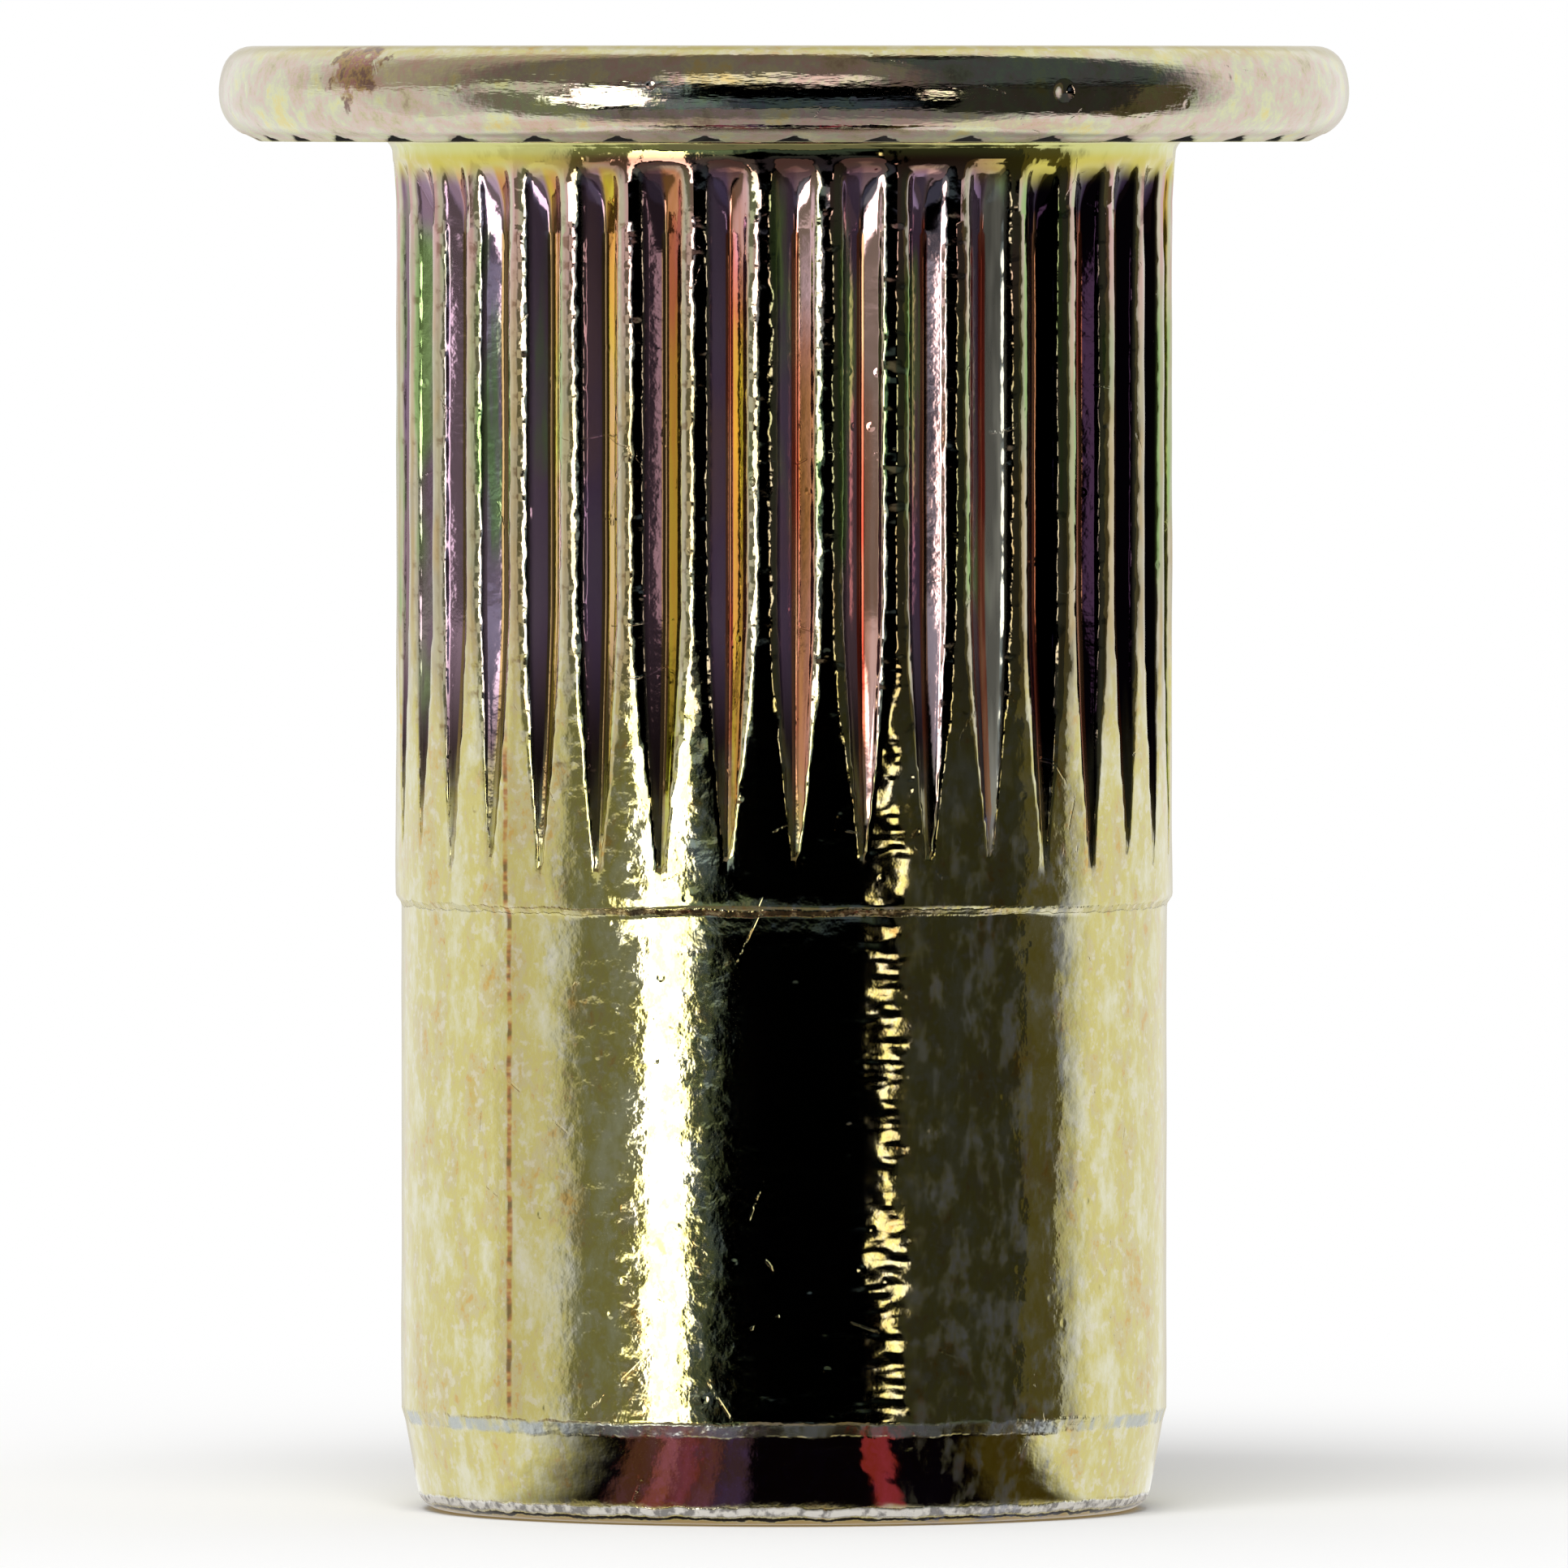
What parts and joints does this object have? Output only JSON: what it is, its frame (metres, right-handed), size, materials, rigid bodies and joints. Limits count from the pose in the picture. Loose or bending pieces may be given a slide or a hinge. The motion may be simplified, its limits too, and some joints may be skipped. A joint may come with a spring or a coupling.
{
  "type": "rivet nut",
  "caption": "Open-ended rivet nut with a wide flat flange, a serrated seat, a knurled sleeve with long groove run-outs and a plain threaded shank.",
  "frame": {"origin": "centre of the foot, on the surface that the nut stands on", "axes": "+Z along the thread's axis from the foot to the flange, -Y towards the viewer; one knurl groove lies 1.7 degrees to the +X side of -Y"},
  "size_m": [0.016, 0.016, 0.0207],
  "materials": {
    "yellow_zinc_steel": "bright zinc plate with a thin iridescent yellow chromate film"
  },
  "bodies": {
    "root": {"rivet_nut": "yellow_zinc_steel"}
  },
  "joints": []
}
